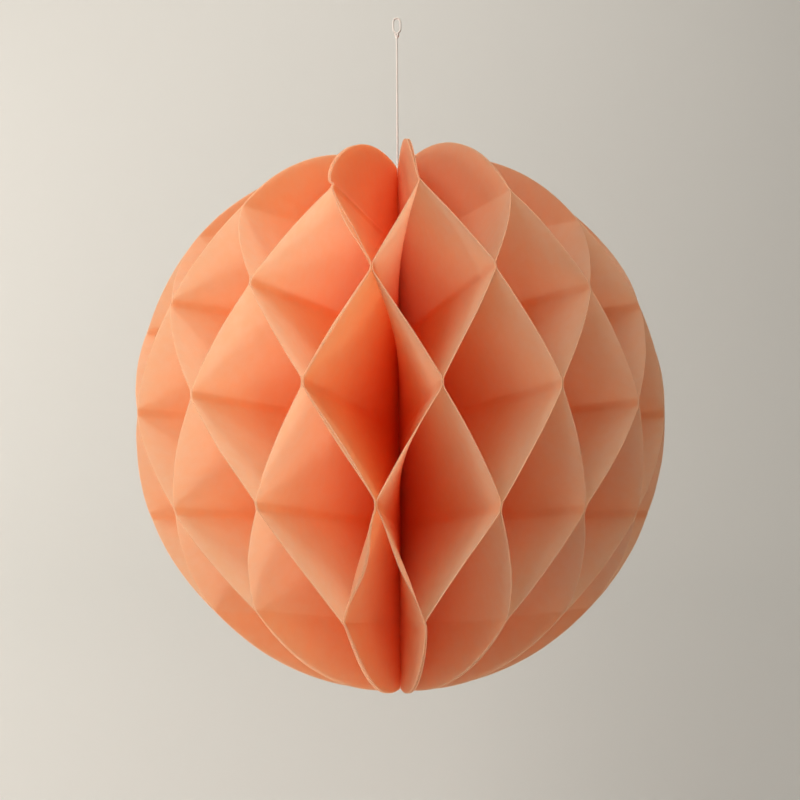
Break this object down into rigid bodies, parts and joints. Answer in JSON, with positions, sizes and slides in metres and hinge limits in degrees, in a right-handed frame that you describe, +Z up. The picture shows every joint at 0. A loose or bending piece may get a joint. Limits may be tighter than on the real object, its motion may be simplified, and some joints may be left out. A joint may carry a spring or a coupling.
{
  "type": "honeycomb paper ball",
  "caption": "Round hanging decoration of half-disc paper leaves, glued in turn so that they fan out into diamond cells round a spine, on a white thread with a loop.",
  "frame": {"origin": "middle of the spine, the centre of the ball without its thread", "axes": "+Z up along the spine and the thread, -Y towards the side that the picture shows"},
  "size_m": [0.25, 0.2496, 0.3474],
  "materials": {
    "paper": "matte uncoated coloured paper, apricot orange",
    "binding": "matte, glued paper edges",
    "thread": "soft twisted white cotton"
  },
  "bodies": {
    "root": {"leaf_01": "paper", "leaf_02": "paper", "leaf_03": "paper", "leaf_04": "paper", "leaf_05": "paper", "leaf_06": "paper", "leaf_07": "paper", "leaf_08": "paper", "leaf_09": "paper", "leaf_10": "paper", "leaf_11": "paper", "leaf_12": "paper", "leaf_13": "paper", "leaf_14": "paper", "leaf_15": "paper", "leaf_16": "paper", "leaf_17": "paper", "leaf_18": "paper", "leaf_19": "paper", "leaf_20": "paper", "leaf_21": "paper", "leaf_22": "paper", "leaf_23": "paper", "leaf_24": "paper", "leaf_25": "paper", "leaf_26": "paper", "leaf_27": "paper", "leaf_28": "paper", "leaf_29": "paper", "leaf_30": "paper", "leaf_31": "paper", "leaf_32": "paper", "leaf_33": "paper", "spine_binding": "binding", "spine_thread": "thread", "stop_knot": "thread", "hanging_thread": "thread", "loop_knot": "thread", "hanging_loop": "thread"}
  },
  "joints": []
}
